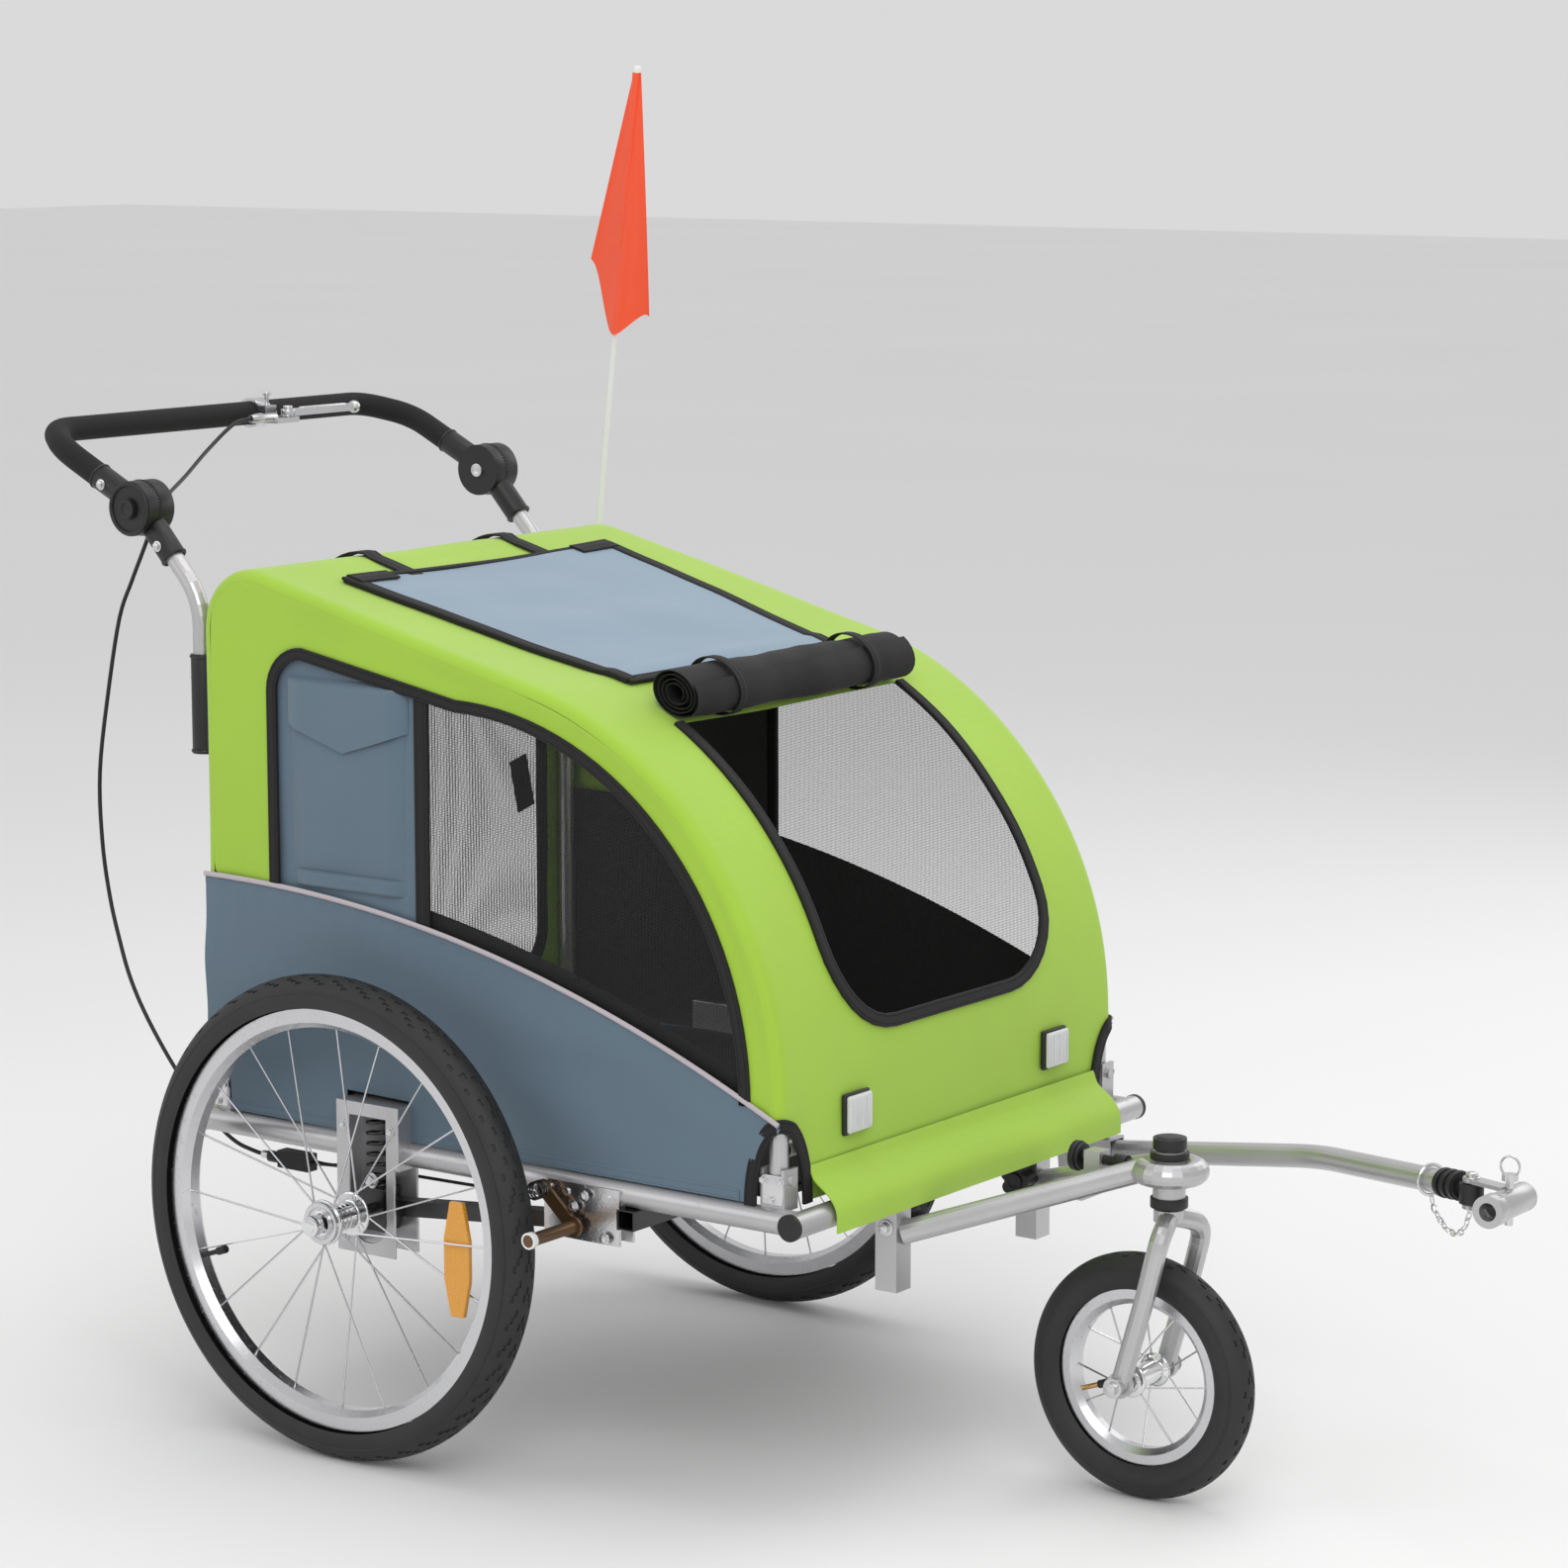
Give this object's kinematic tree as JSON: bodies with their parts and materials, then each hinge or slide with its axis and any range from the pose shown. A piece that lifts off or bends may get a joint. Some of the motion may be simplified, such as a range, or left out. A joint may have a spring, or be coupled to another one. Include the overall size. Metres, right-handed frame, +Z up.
{
  "type": "bicycle trailer",
  "caption": "Two-wheeled bicycle trailer with a cloth cabin on a tube frame, push handle with brake lever, removable swivel front wheel, tow arm and safety flag.",
  "frame": {"origin": "on the ground under the middle of the trailer's overall length and width", "axes": "+X towards the hitch, +Y to the left-hand side, +Z up"},
  "size_m": [1.5544, 0.8074, 1.3842],
  "materials": {
    "silver_paint": "satin silver paint",
    "bright_steel": "zinc plated",
    "rim_alloy": "polished alloy",
    "chrome": "bright chrome",
    "black_paint": "black gloss paint",
    "black_plastic": "textured black",
    "black_foam": "soft foam",
    "tyre": "rubber",
    "green_cloth": "coated polyester",
    "grey_cloth": "coated polyester",
    "roof_cloth": "coated polyester",
    "black_cloth": "woven polyester",
    "mesh": "open mesh",
    "amber": "prismatic amber",
    "clear": "prismatic clear",
    "bronze": "yellow zinc",
    "white": "smooth white",
    "orange": "thin vinyl",
    "cable": "cable jacket"
  },
  "bodies": {
    "chassis": {"base_frame": "silver_paint", "pivot_cross_tube": "black_paint", "end_caps": "black_plastic", "spring_brackets": "silver_paint", "pivot_brackets": "bright_steel", "hinge_brackets": "silver_paint", "cabin_hoops": "silver_paint", "floor_panel": "black_plastic", "floor_pad": "black_cloth", "cabin_cover": "green_cloth", "side_panels": "grey_cloth", "window_mesh": "mesh", "roof_hatch": "roof_cloth", "door_roll": "black_cloth", "front_reflectors": "clear", "handle_sleeves": "black_plastic", "cable_splitter": "black_plastic", "brake_cables": "cable", "right_spring": "black_paint", "left_spring": "black_paint", "tow_arm": "silver_paint", "flex_joint": "black_plastic"},
    "right_suspension": {"right_swing_arm": "black_paint"},
    "left_suspension": {"left_swing_arm": "black_paint"},
    "right_wheel": {"right_tyre": "tyre", "right_rim": "rim_alloy", "right_hub": "chrome", "right_reflector": "amber"},
    "left_wheel": {"left_tyre": "tyre", "left_rim": "rim_alloy", "left_hub": "chrome", "left_reflector": "amber"},
    "front_frame": {"front_loop": "silver_paint"},
    "right_knob": {"right_frame_knob": "black_plastic"},
    "left_knob": {"left_frame_knob": "black_plastic"},
    "swivel_lock": {"swivel_lock": "black_plastic"},
    "steering": {"fork": "silver_paint"},
    "front_wheel": {"front_tyre": "tyre", "front_rim": "rim_alloy", "front_hub": "chrome"},
    "handle_frame": {"handle_tubes": "silver_paint", "lower_joints": "black_plastic"},
    "right_snap_button": {"right_snap_button": "bright_steel"},
    "left_snap_button": {"left_snap_button": "bright_steel"},
    "handlebar": {"handlebar": "silver_paint", "upper_joints": "black_plastic", "foam_grip": "black_foam", "lever_clamp": "rim_alloy", "lever_cable": "cable"},
    "right_tilt_button": {"right_tilt_button": "black_plastic"},
    "left_tilt_button": {"left_tilt_button": "black_plastic"},
    "brake_lever": {"brake_lever": "rim_alloy"},
    "lever_lock": {"lever_lock_pin": "bright_steel"},
    "right_brake": {"right_brake_arm": "bronze"},
    "left_brake": {"left_brake_arm": "bronze"},
    "tow_arm_pin": {"tow_arm_pin": "bright_steel"},
    "hitch_coupler": {"hitch_coupler": "silver_paint"},
    "hitch_pin": {"hitch_pin": "bright_steel"},
    "flag": {"flag_pole": "white", "flag": "orange"}
  },
  "joints": [
    {"name": "right_suspension", "type": "hinge", "parent": "chassis", "child": "right_suspension", "pos_m": [-0.03575, -0.298, 0.27], "axis": [0, 1, 0], "range_deg": [0, 6], "stiffness_Nm_per_rad": 150, "springref_deg": -17.19, "deforming": ["right_spring"]},
    {"name": "left_suspension", "type": "hinge", "parent": "chassis", "child": "left_suspension", "pos_m": [-0.03575, 0.298, 0.27], "axis": [0, 1, 0], "range_deg": [0, 6], "stiffness_Nm_per_rad": 150, "springref_deg": -17.19, "deforming": ["left_spring"]},
    {"name": "right_wheel_spin", "type": "hinge", "parent": "right_suspension", "child": "right_wheel", "pos_m": [-0.27375, -0.364, 0.2475], "axis": [0, 1, 0], "continuous": true},
    {"name": "left_wheel_spin", "type": "hinge", "parent": "left_suspension", "child": "left_wheel", "pos_m": [-0.27375, 0.364, 0.2475], "axis": [0, 1, 0], "continuous": true},
    {"name": "front_frame_release", "type": "slide", "parent": "chassis", "child": "front_frame", "axis": [0, 0, -1], "range_m": [0, 0.07]},
    {"name": "right_knob_turn", "type": "hinge", "parent": "front_frame", "child": "right_knob", "pos_m": [0.23625, -0.0995, 0.268], "axis": [0, 1, 0], "continuous": true},
    {"name": "left_knob_turn", "type": "hinge", "parent": "front_frame", "child": "left_knob", "pos_m": [0.23625, 0.0995, 0.268], "axis": [0, 1, 0], "continuous": true},
    {"name": "swivel_lock_pull", "type": "slide", "parent": "front_frame", "child": "swivel_lock", "axis": [-1, 0, 0], "range_m": [0, 0.01], "stiffness_N_per_m": 600, "springref_m": -0.004},
    {"name": "steering", "type": "hinge", "parent": "front_frame", "child": "steering", "pos_m": [0.47325, 0, 0.332], "axis": [0, 0, 1], "continuous": true},
    {"name": "front_wheel_spin", "type": "hinge", "parent": "steering", "child": "front_wheel", "pos_m": [0.44625, 0, 0.123], "axis": [0, 1, 0], "continuous": true},
    {"name": "handle_height", "type": "slide", "parent": "chassis", "child": "handle_frame", "axis": [0, 0, 1], "range_m": [0, 0.08]},
    {"name": "handlebar_tilt", "type": "hinge", "parent": "handle_frame", "child": "handlebar", "pos_m": [-0.60275, 0, 0.935], "axis": [0, 1, 0], "range_deg": [-70, 60]},
    {"name": "right_snap_button", "type": "slide", "parent": "handle_frame", "child": "right_snap_button", "axis": [1, 0, 0], "range_m": [0, 0.0045], "stiffness_N_per_m": 400, "springref_m": -0.002},
    {"name": "left_snap_button", "type": "slide", "parent": "handle_frame", "child": "left_snap_button", "axis": [1, 0, 0], "range_m": [0, 0.0045], "stiffness_N_per_m": 400, "springref_m": -0.002},
    {"name": "right_tilt_button", "type": "slide", "parent": "handlebar", "child": "right_tilt_button", "axis": [0, 1, 0], "range_m": [0, 0.003], "stiffness_N_per_m": 500, "springref_m": -0.002},
    {"name": "left_tilt_button", "type": "slide", "parent": "handlebar", "child": "left_tilt_button", "axis": [0, -1, 0], "range_m": [0, 0.003], "stiffness_N_per_m": 500, "springref_m": -0.002},
    {"name": "brake_lever", "type": "hinge", "parent": "handlebar", "child": "brake_lever", "pos_m": [-0.71675, 0.072, 1.006], "axis": [0, 0, 1], "range_deg": [0, 11], "stiffness_Nm_per_rad": 1.5, "springref_deg": -14.32},
    {"name": "lever_lock", "type": "slide", "parent": "handlebar", "child": "lever_lock", "axis": [0, 0, -1], "range_m": [0, 0.003]},
    {"name": "right_brake", "type": "hinge", "parent": "chassis", "child": "right_brake", "pos_m": [-0.04575, -0.319, 0.303], "axis": [0, 1, 0], "range_deg": [0, 16]},
    {"name": "left_brake", "type": "hinge", "parent": "chassis", "child": "left_brake", "pos_m": [-0.04575, 0.319, 0.303], "axis": [0, 1, 0], "range_deg": [0, 16]},
    {"name": "tow_arm_pin", "type": "slide", "parent": "chassis", "child": "tow_arm_pin", "axis": [0, 1, 0], "range_m": [0, 0.04]},
    {"name": "hitch_swivel", "type": "hinge", "parent": "chassis", "child": "hitch_coupler", "pos_m": [0.71425, 0.163, 0.312], "axis": [0, 0, 1], "range_deg": [-35, 35], "stiffness_Nm_per_rad": 2},
    {"name": "hitch_pin", "type": "slide", "parent": "hitch_coupler", "child": "hitch_pin", "axis": [0, 0, 1], "range_m": [0, 0.045]},
    {"name": "flag_lift", "type": "slide", "parent": "chassis", "child": "flag", "axis": [0.1132, 0, 0.9936], "range_m": [0, 0.1]}
  ],
  "couplings": [
    {"joint": "right_brake", "follows": "brake_lever", "ratio": 1.45},
    {"joint": "left_brake", "follows": "brake_lever", "ratio": 1.45}
  ]
}
